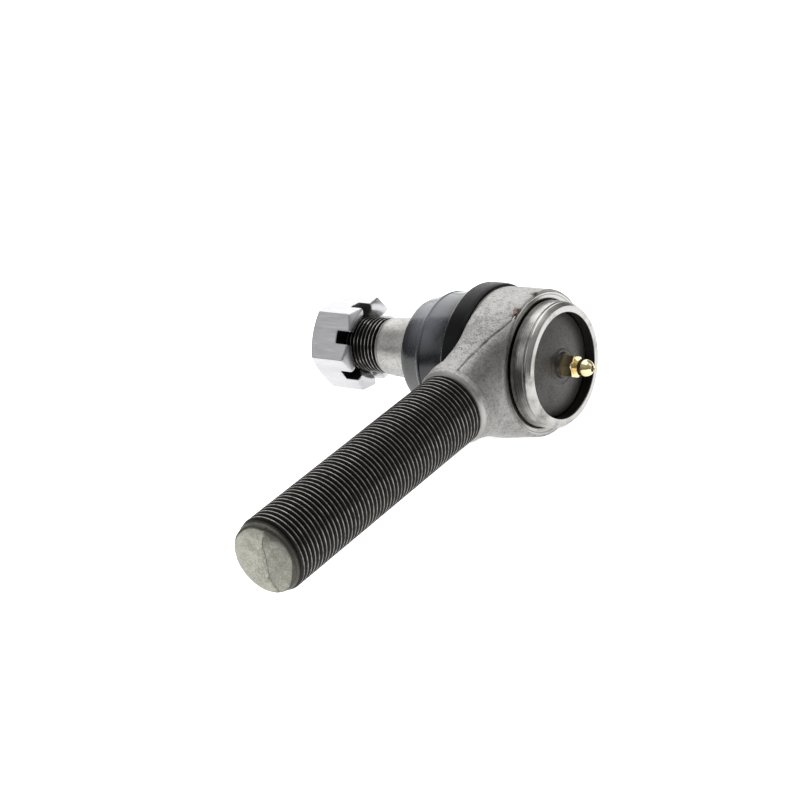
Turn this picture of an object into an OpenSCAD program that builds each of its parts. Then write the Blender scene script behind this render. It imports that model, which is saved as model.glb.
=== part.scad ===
// Heavy truck tie rod end: forged socket with a threaded shank, half-ball joint, boot and castle nut.
// All lengths are millimetres. The origin is the centre of the ball joint.
// +X runs along the stud's axis towards the cover, -Y along the shank to its free end, +Z is up.

/* [Shank] */

// Major diameter of the left-hand shank thread
shank_d = 28.575; // [20:0.005:40]
// Distance from the ball centre to the shank's free end
shank_end = 155.5; // [110:0.5:220]
// Distance from the ball centre to the first thread
thread_start = 43.5; // [38:0.5:60]
// Length of the lead-in cone past the last thread
lead_in = 4; // [1:0.5:8]
// Radius of the sheared face at the free end
end_face_r = 12.3; // [8:0.1:14]
// Radius of the sharp collar behind the thread
collar_r = 15.4; // [14.4:0.1:18]
// Distance from the ball centre to that collar
collar_y = 38.5; // [34:0.5:44]

/* [Forged head] */

// Outside radius of the forged head
head_r = 28.5; // [24:0.1:34]
// Outside radius of the head under the boot
boss_r = 28.2; // [24:0.1:34]
// Distance from the ball centre to the head's face on the stud side
face_x = 12.5; // [10:0.1:18]
// Rounding of the head's edge under the boot
edge_round = 6; // [2:0.1:8]
// Distance from the ball centre to the machined shoulder
shoulder_x = 16; // [12:0.1:22]
// Outside radius of the machined nose
nose_r = 24.4; // [22:0.1:27]
// Distance from the ball centre to the nose's rim
rim_x = 25; // [20:0.1:32]
// Radius of the recess that holds the cover
recess_r = 20.4; // [18:0.05:23]
// Distance from the ball centre to the cover's seat
cover_seat_x = 15.6; // [13:0.1:20]
// Radius of the bore that holds the bearings
bore_r = 19; // [16:0.05:20]
// Radius of the mouth that the stud swings in
mouth_r = 15.3; // [13:0.1:18]
// Half thickness of the neck between head and shank
neck_half = 14.6; // [12:0.1:18]

/* [Ball joint] */

// Radius of the half ball
half_ball_r = 16.5; // [14:0.05:18]
// Radius of the stud's own rounded head
stud_head_r = 14.5; // [12:0.05:16]
// Running clearance between parts that slide or turn
run_gap = 0.05; // [0.02:0.01:0.1]
// Radius of the stud's neck inside the half ball
neck_r = 10.5; // [8:0.1:12]
// Wall of the cover plate
cover_t = 3; // [2:0.1:5]
// Radius of the cover plate's domed outer face
dome_r = 44; // [30:1:80]
// Thickness of the gasket under the cover
gasket_t = 0.5; // [0.3:0.1:1.5]

/* [Stud] */

// Distance from the ball centre to the large end of the taper
taper_start = 30; // [24:0.5:40]
// Distance from the ball centre to the small end of the taper
taper_end = 57.6; // [45:0.1:80]
// Radius at the small end of the taper
taper_small_r = 11.6; // [9:0.1:14]
// Taper on diameter, one in this many
taper_ratio = 8; // [6:1:12]
// Major diameter of the stud's thread
stud_thread_d = 22.225; // [16:0.005:30]
// Distance from the ball centre to the stud's end
stud_end = 86.4; // [70:0.1:110]
// Diameter of the hole for a cotter pin
cotter_d = 4.4; // [3:0.1:6]
// Distance from the ball centre to the cotter pin's hole
cotter_x = 79; // [65:0.5:100]

/* [Castle nut] */

// Width of the nut across its flats
nut_flats = 33.3; // [27:0.1:40]
// Distance from the ball centre to the slotted end
nut_near = 68.2; // [60:0.1:90]
// Height of the nut
nut_h = 19; // [14:0.1:26]
// Width of each slot
slot_w = 5.2; // [3:0.1:7]
// Depth of each slot
slot_depth = 6.2; // [4:0.1:9]
// Angle that the nut is turned to on the thread, in degrees
nut_turn = 26; // [0:1:60]

/* [Dust boot] */

// Radius of the boot's base skirt
skirt_r = 29.4; // [26:0.1:34]
// Radius of the dome next to the base
dome_base_r = 25.6; // [22:0.1:30]
// Radius of the dome at its outer edge
dome_tip_r = 20.7; // [17:0.1:26]
// Distance from the ball centre to that edge
dome_tip_x = 38.4; // [32:0.1:46]
// Thickness of the rubber
boot_t = 2.6; // [1.5:0.1:4]

/* [Grease fitting] */

// Width across the flats of the fitting's hexagon
hex_flats = 8; // [6:0.1:12]
// Distance from the ball centre to the hexagon's base
hex_x = 25.2; // [22:0.1:30]
// Length of the hexagon
hex_len = 5.2; // [3:0.1:8]
// Radius of the fitting's rounded nipple
nipple_r = 3.35; // [2.5:0.05:4.5]
// Distance from the ball centre to the fitting's tip
tip_x = 37.5; // [32:0.1:44]
// Radius of the check ball
check_r = 1.2; // [0.8:0.05:1.5]

/* [Hidden] */

$fn = 96;
shank_r = shank_d / 2;
stud_thread_r = stud_thread_d / 2;
dome_centre = rim_x - 1 - dome_r;
taper_big_r = taper_small_r + (taper_end - taper_start) / (2 * taper_ratio);
relief_x = 4.2;
relief_r = 36;
race_top = 7;
race_low = 1;
half_ball_top = 11.5;
head_flat = 11.8;
cup_top = 6.2;
cup_low = 14.2;
lip_x = 41.3;
ring_near = 37.4;
ring_far = 39.4;
ring_r = 13.15;
ring_wall = 1.4;
base_ring_in = 18.6;
base_ring_out = 22;
base_ring_t = 1.6;
fitting_thread_r = 3.17;
fitting_in_x = 19.2;
passage_r = check_r + 0.1;
orifice_r = 0.95;
check_x = 35.9;
coil_turns = 6;
coil_steps = 14;
coil_sides = 6;
coil_wire_r = 0.17;
coil_r = 0.95;
coil_x0 = 27.4;
coil_x1 = 34.5;

steel = [0.62, 0.62, 0.64];
raw = [0.55, 0.55, 0.54];
dark = [0.27, 0.27, 0.28];
rubber = [0.08, 0.09, 0.1];
brassy = [0.86, 0.68, 0.34];
plastic = [0.8, 0.78, 0.7];

// A round body about the X axis, from points given as [radius, x].
module turned(points) {
    rotate([0, 90, 0])
        rotate_extrude()
            polygon(points);
}

// A cylinder or cone about the X axis, from x0 to x1.
module rod_x(x0, x1, r0, r1) {
    translate([x0, 0, 0])
        rotate([0, 90, 0])
            cylinder(h = x1 - x0, r1 = r0, r2 = r1);
}

// A cylinder or cone about the shank's axis, between two distances from the ball centre.
module rod_shank(d0, d1, r0, r1) {
    translate([0, -d0, 0])
        rotate([90, 0, 0])
            cylinder(h = d1 - d0, r1 = r0, r2 = r1);
}

// The forged head as a barrel with a rounded edge under the boot.
module head_barrel() {
    rotate([0, 90, 0])
        rotate_extrude()
            union() {
                polygon([
                    [0, -face_x],
                    [boss_r - edge_round, -face_x],
                    [boss_r - edge_round, -face_x + edge_round],
                    [boss_r, -face_x + edge_round],
                    [boss_r, -2],
                    [head_r, 4],
                    [head_r, shoulder_x - 1.2],
                    [head_r - 1.2, shoulder_x],
                    [0, shoulder_x]
                ]);
                intersection() {
                    translate([boss_r - edge_round, -face_x + edge_round])
                        circle(r = edge_round);
                    translate([0, -face_x])
                        square([boss_r, edge_round + 0.01]);
                }
            }
}

// The neck that runs from the head into the shank, cut flat on both sides.
module neck() {
    intersection() {
        rotate([90, 0, 0])
            rotate_extrude()
                polygon([
                    [0, 0],
                    [25.2, 0],
                    [25.2, 15],
                    [23.6, 19],
                    [20.8, 24],
                    [18.4, 29],
                    [16.6, 34],
                    [collar_r, collar_y],
                    [0, collar_y]
                ]);
        translate([-neck_half, -60, -40])
            cube([neck_half + shoulder_x - 1.2, 60, 80]);
    }
}

// The machined nose outside, with its two fine turned grooves.
module nose() {
    turned([
        [0, 0],
        [nose_r, 0],
        [nose_r, shoulder_x + 0.1],
        [nose_r - 0.5, shoulder_x + 0.2],
        [nose_r - 0.5, shoulder_x + 0.7],
        [nose_r, shoulder_x + 0.9],
        [nose_r, rim_x - 2.1],
        [nose_r - 0.4, rim_x - 1.9],
        [nose_r - 0.4, rim_x - 1.6],
        [nose_r - 0.2, rim_x - 1.4],
        [nose_r - 0.2, rim_x - 0.7],
        [nose_r - 0.9, rim_x],
        [0, rim_x]
    ]);
}

module socket_housing() {
    color(raw)
        difference() {
            union() {
                head_barrel();
                difference() {
                    neck();
                    rod_x(-relief_x, -1.7, relief_r, skirt_r + 0.4);
                    rod_x(-neck_half - 1, -relief_x + 0.01, relief_r + 3.8, relief_r);
                }
                nose();
                rod_shank(collar_y, thread_start - 1, collar_r, shank_r);
                rod_shank(collar_y - 2, shank_end - lead_in, shank_r, shank_r);
                rod_shank(shank_end - lead_in, shank_end, shank_r, end_face_r);
            }
            rod_x(-race_top - run_gap, rim_x, bore_r, bore_r);
            rod_x(cover_seat_x, rim_x + 1, recess_r, recess_r);
            rod_x(-race_top - 1, -race_top, mouth_r, mouth_r);
            rod_x(-face_x - 0.01, -race_top - 0.9, mouth_r + 2, mouth_r);
        }
}

module upper_bearing() {
    color(steel)
        difference() {
            rod_x(-race_top, race_low, bore_r - run_gap, bore_r - run_gap);
            sphere(r = half_ball_r + run_gap);
            rod_x(0, race_low + 1, half_ball_r + run_gap, half_ball_r + run_gap);
        }
}

module half_ball() {
    color(steel)
        difference() {
            sphere(r = half_ball_r);
            translate([-half_ball_top - 50, -25, -25])
                cube(50);
            translate([-0.4, -25, -25])
                cube(50);
            rod_x(-20, 5, neck_r + run_gap, neck_r + run_gap);
        }
}

module ball_stud() {
    color(steel)
        difference() {
            union() {
                difference() {
                    sphere(r = stud_head_r);
                    translate([-50.35, -25, -25])
                        cube(50);
                    translate([head_flat, -25, -25])
                        cube(50);
                }
                turned([
                    [0, 0],
                    [neck_r, 0],
                    [neck_r, -21],
                    [taper_big_r, -taper_start],
                    [taper_small_r, -taper_end],
                    [stud_thread_r - 0.9, -taper_end - 0.3],
                    [stud_thread_r - 0.9, -taper_end - 0.7],
                    [stud_thread_r, -taper_end - 1.1],
                    [stud_thread_r, -stud_end + 1.6],
                    [stud_thread_r - 1.6, -stud_end],
                    [0, -stud_end]
                ]);
            }
            translate([-cotter_x, 0, 0])
                rotate([nut_turn, 0, 0])
                    cylinder(h = 60, d = cotter_d, center = true);
            rod_x(head_flat - 1, head_flat + 1, 2, 5);
        }
}

module lower_bearing() {
    color(plastic)
        difference() {
            rod_x(cup_top, cup_low, bore_r - run_gap, bore_r - run_gap);
            sphere(r = stud_head_r + run_gap);
            rod_x(cup_top, cup_low + 1, 5, 5);
        }
}

// A coned disc spring: its inner edge bears on the cup, its outer edge on the cover.
module pressure_spring() {
    color(steel)
        turned([
            [8, cup_low + run_gap],
            [8, cup_low + run_gap + 1.1],
            [17.6, cup_low + run_gap + 2],
            [17.6, cup_low + run_gap + 0.9]
        ]);
}

module cover_plate() {
    color(dark)
        rotate([0, 90, 0])
            rotate_extrude()
                difference() {
                    union() {
                        intersection() {
                            difference() {
                                translate([0, dome_centre])
                                    circle(r = dome_r, $fn = 360);
                                translate([0, dome_centre])
                                    circle(r = dome_r - cover_t, $fn = 360);
                            }
                            translate([0, cover_seat_x + gasket_t])
                                square([recess_r - 0.05, 20]);
                        }
                        polygon([
                            [0, 22],
                            [5.1, 22],
                            [5.1, 23.6],
                            [4.8, hex_x - 0.3],
                            [0, hex_x - 0.3]
                        ]);
                    }
                    square([fitting_thread_r + 0.03, 40]);
                }
}

module cover_gasket() {
    color(rubber)
        difference() {
            rod_x(cover_seat_x, cover_seat_x + gasket_t, recess_r - 0.05, recess_r - 0.05);
            rod_x(cover_seat_x - 1, cover_seat_x + 2, bore_r + 0.2, bore_r + 0.2);
        }
}

module grease_fitting() {
    hex_end = hex_x + hex_len;
    color(brassy)
        difference() {
            union() {
                rod_x(fitting_in_x, hex_x, fitting_thread_r, fitting_thread_r);
                intersection() {
                    translate([hex_x - 0.3, 0, 0])
                        rotate([0, 90, 0])
                            cylinder(h = hex_len + 0.3, d = hex_flats / cos(30), $fn = 6);
                    turned([
                        [0, hex_x - 0.3],
                        [hex_flats / 2 - 0.2, hex_x - 0.3],
                        [hex_flats / 2 + 0.7, hex_x + 0.4],
                        [hex_flats / 2 + 0.7, hex_end - 0.5],
                        [hex_flats / 2 - 0.2, hex_end],
                        [0, hex_end]
                    ]);
                }
                turned([
                    [0, hex_end - 1],
                    [nipple_r - 0.9, hex_end - 1],
                    [nipple_r - 0.9, hex_end + 1],
                    [nipple_r, hex_end + 1.9],
                    [nipple_r, hex_end + 4.2],
                    [nipple_r - 0.3, hex_end + 5.2],
                    [nipple_r - 1, tip_x - 0.9],
                    [nipple_r - 1.9, tip_x],
                    [0, tip_x]
                ]);
            }
            rod_x(fitting_in_x - 1, check_x + 0.2, passage_r, passage_r);
            rod_x(check_x + 0.19, check_x + 0.77, passage_r, orifice_r);
            rod_x(check_x, tip_x + 1, orifice_r, orifice_r);
            rod_x(tip_x - 0.3, tip_x + 0.01, orifice_r, orifice_r + 0.3);
        }
}

module fitting_ball() {
    color(steel)
        translate([check_x, 0, 0])
            sphere(r = check_r, $fn = 48);
}

// A coil of round wire inside the fitting, as one closed tube.
module fitting_spring() {
    steps = coil_turns * coil_steps;
    points = [
        for (i = [0 : steps])
            for (j = [0 : coil_sides - 1])
                let (
                    turn = 360 * i / coil_steps,
                    side = 360 * j / coil_sides,
                    r = coil_r + coil_wire_r * cos(side)
                )
                [
                    coil_x0 + (coil_x1 - coil_x0) * i / steps + coil_wire_r * sin(side),
                    r * cos(turn),
                    r * sin(turn)
                ]
    ];
    walls = [
        for (i = [0 : steps - 1])
            for (j = [0 : coil_sides - 1])
                let (
                    a = i * coil_sides + j,
                    b = i * coil_sides + (j + 1) % coil_sides
                )
                [a, b, b + coil_sides, a + coil_sides]
    ];
    first = [for (j = [coil_sides - 1 : -1 : 0]) j];
    last = [for (j = [0 : coil_sides - 1]) steps * coil_sides + j];
    color(steel)
        polyhedron(points = points, faces = concat([first], walls, [last]), convexity = 10);
}

module dust_boot() {
    round_r = edge_round + 0.28;
    round_c = boss_r - edge_round;
    color(rubber)
        difference() {
            turned([
                [boss_r + 0.12, -2.8],
                [skirt_r - 0.5, -3],
                [skirt_r, -5],
                [skirt_r, -12.1],
                [skirt_r - 0.6, -13],
                [dome_base_r + 1.1, -13.4],
                [dome_base_r + 0.3, -14.6],
                [dome_base_r, -17],
                [dome_base_r - 0.9, -21],
                [23.6, -26.5],
                [22.3, -33],
                [dome_tip_r + 0.7, -36.4],
                [dome_tip_r, -dome_tip_x],
                [dome_tip_r - 1.6, -dome_tip_x - 1],
                [15.5, -40],
                [13.2, -lip_x],
                [12.76, -lip_x],
                [12.76, -ring_far],
                [12.98, -ring_near],
                [14, -36.4],
                [dome_tip_r - boot_t - 0.6, -36],
                [22.3 - boot_t, -33],
                [23.6 - boot_t, -26.5],
                [dome_base_r - 0.9 - boot_t, -21],
                [dome_base_r - boot_t - 1, -17],
                [base_ring_out + 0.02, -face_x - base_ring_t - 0.3],
                [base_ring_out + 0.02, -face_x - 0.28],
                [round_c, -face_x - 0.28],
                [round_c + round_r * sin(30), -face_x + edge_round - round_r * cos(30)],
                [round_c + round_r * sin(60), -face_x + edge_round - round_r * cos(60)],
                [boss_r + 0.12, -face_x + edge_round - 0.3]
            ]);
            rod_x(-ring_far, -ring_near, ring_r + ring_wall + 0.02, ring_r + ring_wall + 0.02);
        }
}

module boot_base_ring() {
    color(steel)
        difference() {
            rod_x(-face_x - base_ring_t, -face_x - 0.02, base_ring_out, base_ring_out);
            rod_x(-20, -10, base_ring_in, base_ring_in);
        }
}

module boot_neck_ring() {
    color(steel)
        difference() {
            rod_x(-ring_far + 0.02, -ring_near - 0.02, ring_r + ring_wall, ring_r + ring_wall);
            rod_x(-45, -30, ring_r, ring_r);
        }
}

module castle_nut() {
    far = nut_near + nut_h;
    corner_r = nut_flats / 2 / cos(30);
    color(steel)
        difference() {
            intersection() {
                translate([-far, 0, 0])
                    rotate([nut_turn, 0, 0])
                        rotate([0, 90, 0])
                            cylinder(h = nut_h, r = corner_r, $fn = 6);
                turned([
                    [0, -nut_near],
                    [nut_flats / 2 - 0.6, -nut_near],
                    [corner_r + 0.1, -nut_near - 1.9],
                    [corner_r + 0.1, -far + 1.7],
                    [nut_flats / 2 - 0.5, -far],
                    [0, -far]
                ]);
            }
            rod_x(-far - 1, -nut_near + 1, stud_thread_r + run_gap, stud_thread_r + run_gap);
            rod_x(-nut_near - 2.4, -nut_near + 0.01, stud_thread_r + run_gap, 14.2);
            rod_x(-far - 0.01, -far + 1.2, stud_thread_r + 1.1, stud_thread_r + run_gap);
            for (i = [0 : 2])
                rotate([nut_turn + 60 * i, 0, 0])
                    translate([-nut_near - slot_depth, -30, -slot_w / 2])
                        cube([slot_depth + 1, 60, slot_w]);
        }
}

socket_housing();
upper_bearing();
half_ball();
ball_stud();
lower_bearing();
pressure_spring();
cover_plate();
cover_gasket();
grease_fitting();
fitting_ball();
fitting_spring();
dust_boot();
boot_base_ring();
boot_neck_ring();
castle_nut();
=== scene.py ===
"""A heavy truck's tie rod end: forged socket and threaded shank, tapered stud, castle nut, dust boot
and grease fitting. Lengths in this file are millimetres until a mesh is made, which is in metres.
The ball joint's centre is the origin, +X is the cover's side, -Y the shank's free end, +Z up."""

import math

import bmesh
import bpy
import numpy as np
from mathutils import Matrix, Quaternion, Vector


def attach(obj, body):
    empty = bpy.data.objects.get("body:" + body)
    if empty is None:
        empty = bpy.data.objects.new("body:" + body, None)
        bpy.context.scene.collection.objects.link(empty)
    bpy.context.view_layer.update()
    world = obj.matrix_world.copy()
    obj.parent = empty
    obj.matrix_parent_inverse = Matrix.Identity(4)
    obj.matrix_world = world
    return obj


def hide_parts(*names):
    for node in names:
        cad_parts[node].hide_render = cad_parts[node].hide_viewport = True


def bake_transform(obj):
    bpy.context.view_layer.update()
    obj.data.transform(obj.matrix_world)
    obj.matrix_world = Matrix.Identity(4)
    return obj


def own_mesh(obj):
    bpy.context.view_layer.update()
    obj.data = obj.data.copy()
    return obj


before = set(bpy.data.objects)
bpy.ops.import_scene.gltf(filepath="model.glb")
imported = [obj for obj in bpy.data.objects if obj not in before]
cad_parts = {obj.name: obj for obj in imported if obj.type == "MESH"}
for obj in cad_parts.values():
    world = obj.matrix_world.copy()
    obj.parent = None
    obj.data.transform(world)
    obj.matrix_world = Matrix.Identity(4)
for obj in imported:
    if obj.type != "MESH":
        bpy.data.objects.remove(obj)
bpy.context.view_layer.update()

MM = 0.001

# ---------------------------------------------------------------- sizes of the real part

# Shank, measured from the ball's centre: 1-1/8 inch, 12 threads an inch, left-hand
SHANK_R = 14.2875
SHANK_PITCH = 25.4 / 12
SHANK_END = 155.5
LEAD_IN = 4.0
COLLAR_Y = 38.5
COLLAR_R = 15.4
THREAD_START = 42.5

# Socket: forged head, turned nose, recess for the cover, bore for the race
HEAD_R = 28.5
BOSS_R = 28.2
FACE_X = 12.5
SHOULDER_X = 16.0
NOSE_R = 24.4
RIM_X = 25.0
RECESS_R = 20.4
COVER_SEAT_X = 15.6
BORE_R = 19.0
MOUTH_R = 15.3
RACE_TOP = 7.0

# Stud: 7/8 inch, 14 threads an inch, on a 1 in 8 taper
STUD_R = 22.225 / 2
STUD_PITCH = 25.4 / 14
STUD_TURNS = 15
TAPER_START = 30.0
TAPER_END = 57.6
TAPER_SMALL_R = 11.6
TAPER_BIG_R = TAPER_SMALL_R + (TAPER_END - TAPER_START) / 16
STUD_NECK_R = 10.5
STUD_HEAD_R = 14.5

# Cover plate and grease fitting
DOME_CENTRE = -20.0
DOME_R = 44.0
COVER_T = 3.0
COVER_LIP = 1.5
HEX_X = 25.2
HEX_LEN = 5.2
HEX_FLATS = 8.0
TIP_X = 37.5
NIPPLE_R = 3.35
CHECK_R = 1.2
CHECK_X = 35.9

# Castle nut, its slots towards the boot
NUT_NEAR = 68.2
NUT_FAR = 87.2
NUT_FLATS = 33.3
NUT_TURN = 26.0
SLOT_W = 5.2
SLOT_DEPTH = 6.2


# ---------------------------------------------------------------- small tools


def make_object(name, verts, faces, smooth_angle=40.0):
    """A mesh object from points in millimetres, smooth but for edges sharper than the angle."""
    mesh = bpy.data.meshes.new(name)
    mesh.from_pydata((np.asarray(verts, float) * MM).tolist(), [], faces)
    mesh.validate()
    obj = bpy.data.objects.new(name, mesh)
    bpy.context.scene.collection.objects.link(obj)
    tidy_mesh(obj, smooth_angle)
    return obj


def tidy_mesh(obj, smooth_angle=40.0, merge=0.0005, fill=False):
    """Merges doubles, closes holes where asked, and turns every face outwards."""
    bm = bmesh.new()
    bm.from_mesh(obj.data)
    bmesh.ops.remove_doubles(bm, verts=bm.verts, dist=merge * MM)
    bmesh.ops.dissolve_degenerate(bm, edges=bm.edges, dist=0.0001 * MM)
    if fill:
        bmesh.ops.holes_fill(bm, edges=[e for e in bm.edges if e.is_boundary], sides=0)
    bmesh.ops.recalc_face_normals(bm, faces=bm.faces)
    bm.to_mesh(obj.data)
    bm.free()
    obj.data.shade_smooth()
    obj.data.set_sharp_from_angle(angle=math.radians(smooth_angle))


def soften(profile, steps=5):
    """Rounds the corners of a profile of (radius, x, rounding) points. No rounding keeps a corner."""
    out = []
    count = len(profile)
    for i, (r, x, size) in enumerate(profile):
        here = np.array([r, x], float)
        before = np.array(profile[i - 1][:2], float)
        after = np.array(profile[(i + 1) % count][:2], float)
        to_before, to_after = before - here, after - here
        reach = 0.48 * min(np.linalg.norm(to_before), np.linalg.norm(to_after))
        if size <= 0 or reach <= 0:
            out.append(here)
            continue
        size = min(size, reach)
        a = here + to_before / np.linalg.norm(to_before) * size
        b = here + to_after / np.linalg.norm(to_after) * size
        for k in range(steps + 1):
            t = k / steps
            out.append((1 - t) ** 2 * a + 2 * t * (1 - t) * here + t * t * b)
    return out


def lathe(name, profile, sides=160, closed=False, smooth_angle=35.0):
    """Turns a profile of (radius, x) points about the X axis. A closed profile gives a ring."""
    turn = np.linspace(0, 2 * np.pi, sides, endpoint=False)
    verts, rows = [], []
    for r, x in profile:
        if r < 1e-6:
            rows.append([len(verts)])
            verts.append((x, 0, 0))
        else:
            rows.append(list(range(len(verts), len(verts) + sides)))
            verts += [(x, r * math.cos(t), r * math.sin(t)) for t in turn]
    faces = []
    pairs = list(zip(rows, rows[1:]))
    if closed:
        pairs.append((rows[-1], rows[0]))
    for a, b in pairs:
        for k in range(sides):
            n = (k + 1) % sides
            if len(a) == 1 and len(b) == 1:
                continue
            if len(a) == 1:
                faces.append((a[0], b[k], b[n]))
            elif len(b) == 1:
                faces.append((a[k], b[0], a[n]))
            else:
                faces.append((a[k], b[k], b[n], a[n]))
    return make_object(name, verts, faces, smooth_angle)


# ---------------------------------------------------------------- the forging as one blended body


def soft_max(a, b, k):
    """The larger of two distances with a rounded outside edge of about k."""
    h = np.clip(0.5 - 0.5 * (b - a) / k, 0, 1)
    return b + (a - b) * h + k * h * (1 - h)


def soft_min(a, b, k):
    """The smaller of two distances with a filleted inside corner of about k."""
    return -soft_max(-a, -b, k)


# The neck's radius at distances down the shank
NECK_Y = [0, 15, 19, 24, 29, 34, COLLAR_Y, 60]
NECK_R = [25.2, 25.2, 23.6, 20.8, 18.4, 16.6, COLLAR_R, COLLAR_R - 0.3]

# Points on the parting line, and the middles of the rust spots
SEAM = [(4.2, -38.6, 14.7), (4.3, -37.1, 14.9), (5.2, -31.0, 16.8), (7.1, -25.8, 18.8)]
SEAM += [(9.3, -21.6, 20.7), (12.1, -18.2, 22.7), (14.6, -14.6, 24.5), (16.0, -10.5, 26.2)]
RUST = [(15.4, 2.6, 28.3), (15.6, -11.3, 26.2), (15.0, -9.4, 26.9)]


def seam_distance(p):
    """Distance from points to the line the two halves of the forging dies left, in millimetres."""
    best = np.full(p.shape[:-1], 1e9)
    for a, b in zip(SEAM, SEAM[1:]):
        a, b = np.array(a), np.array(b)
        t = np.clip(((p - a) @ (b - a)) / ((b - a) @ (b - a)), 0, 1)
        best = np.minimum(best, np.linalg.norm(p - a - t[..., None] * (b - a), axis=-1))
    return best


def forging(p):
    """Signed distance to the raw forging's surface, in millimetres, at points p."""
    x, y, z = p[..., 0], p[..., 1], p[..., 2]
    r = np.hypot(y, z)
    # the round head, rising from the boss that the boot grips
    wall = BOSS_R + (HEAD_R - BOSS_R) * np.clip((x + 3.2) / 6, 0, 1)
    barrel = soft_max(soft_max(r - wall, -FACE_X - x, 6.0), x - SHOULDER_X, 0.9)
    # the neck, cut back where the boot's skirt needs room to sit
    round_r = np.hypot(x, z)
    along = -y
    neck_r = np.interp(along, NECK_Y, NECK_R)
    neck = soft_max(round_r - neck_r, np.abs(x) - 14.6, 5.0)
    neck = np.maximum(neck, -along)
    neck = soft_max(neck, x - SHOULDER_X + 1.3, 1.0)
    relief = x + 2.9 + 0.4 * np.maximum(r - 29.8, 0) + 4.0 * np.maximum(r - 37.6, 0)
    neck = soft_max(neck, -relief / 1.1, 1.5)
    body = soft_min(barrel, neck, 5.0)
    room = soft_max(BOSS_R - 0.02 - r, relief / 1.1, 0.8)
    body = soft_max(body, -room, 0.8)
    body = np.maximum(body, along - COLLAR_Y)
    # the bore, its mouth, and the seats of the cover and the turned nose
    bore = np.maximum(r - BORE_R, -RACE_TOP - 0.05 - x)
    mouth_r = [MOUTH_R, MOUTH_R, MOUTH_R + 2, MOUTH_R + 2]
    mouth = r - np.interp(-x, [0, RACE_TOP + 0.9, FACE_X, 30], mouth_r)
    seat = np.maximum(r - RECESS_R, COVER_SEAT_X - x)
    seat = np.minimum(seat, np.maximum(r - NOSE_R - 2.6, SHOULDER_X - 1.4 - x))
    body = np.maximum(body, -np.minimum(np.minimum(bore, mouth), seat))
    return body + 0.28 * np.exp(-((seam_distance(p) / 0.5) ** 2))


def polygonise(name, distance, low, high, pitch):
    """A closed mesh of the surface where distance is zero: one point a cell, drawn onto the surface."""
    axes = [np.arange(a, b + pitch, pitch) for a, b in zip(low, high)]
    grid = np.stack(np.meshgrid(*axes, indexing="ij"), -1)
    value = distance(grid)
    inside = value < 0
    shape = np.array(value.shape) - 1
    total = np.zeros((*shape, 3))
    hits = np.zeros(shape)
    corners = [(a, b, c) for a in (0, 1) for b in (0, 1) for c in (0, 1)]

    def part(array, corner):
        return array[tuple(slice(c, c + n) for c, n in zip(corner, shape))]

    # each crossed cell's point starts at the mean of its edge crossings
    for one in corners:
        for axis in range(3):
            if one[axis]:
                continue
            two = tuple(1 if k == axis else one[k] for k in range(3))
            va, vb = part(value, one), part(value, two)
            crossed = part(inside, one) != part(inside, two)
            t = np.where(crossed, va / np.where(crossed, va - vb, 1), 0)[..., None]
            pa, pb = part(grid, one), part(grid, two)
            total += np.where(crossed[..., None], pa + (pb - pa) * t, 0)
            hits += crossed
    active = hits > 0
    index = np.full(tuple(shape), -1)
    index[active] = np.arange(active.sum())
    verts = total[active] / hits[active][:, None]
    # then a few steps along the slope bring it onto the surface
    step = 1e-3
    for _ in range(4):
        d = distance(verts)
        slope = np.stack([(distance(verts + step * e) - d) / step for e in np.eye(3)], -1)
        size = np.maximum((slope**2).sum(-1), 0.3)
        move = -(d / size)[:, None] * slope
        length = np.linalg.norm(move, axis=1, keepdims=True)
        verts += move * np.minimum(1, 0.4 * pitch / np.maximum(length, 1e-9))
    # one face round each grid edge that the surface crosses
    faces = []
    for axis in range(3):
        b, c = [k for k in range(3) if k != axis]
        n = [value.shape[k] - (1 if k == axis else 0) for k in range(3)]
        near = inside[tuple(slice(0, n[k]) for k in range(3))]
        far = inside[tuple(slice(1, None) if k == axis else slice(0, n[k]) for k in range(3))]
        cells = np.argwhere(near != far)
        cells = cells[(cells[:, b] > 0) & (cells[:, c] > 0)]
        cells = cells[(cells[:, b] < shape[b]) & (cells[:, c] < shape[c])]
        quad = []
        for db, dc in ((1, 1), (0, 1), (0, 0), (1, 0)):
            at = cells.copy()
            at[:, b] -= db
            at[:, c] -= dc
            quad.append(index[tuple(at.T)])
        faces.append(np.stack(quad, 1))
    return make_object(name, verts, np.concatenate(faces).tolist(), 32.0)


# ---------------------------------------------------------------- threads


def wire(tree, kind, links=None, **settings):
    """Adds a node, sets its properties, and links or sets its inputs by name or number."""
    made = tree.nodes.new(kind)
    for key, value in settings.items():
        setattr(made, key, value)
    for key, value in (links or {}).items():
        socket = made.inputs[key]
        if isinstance(value, bpy.types.NodeSocket):
            tree.links.new(value, socket)
        else:
            socket.default_value = value
    return made


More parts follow.
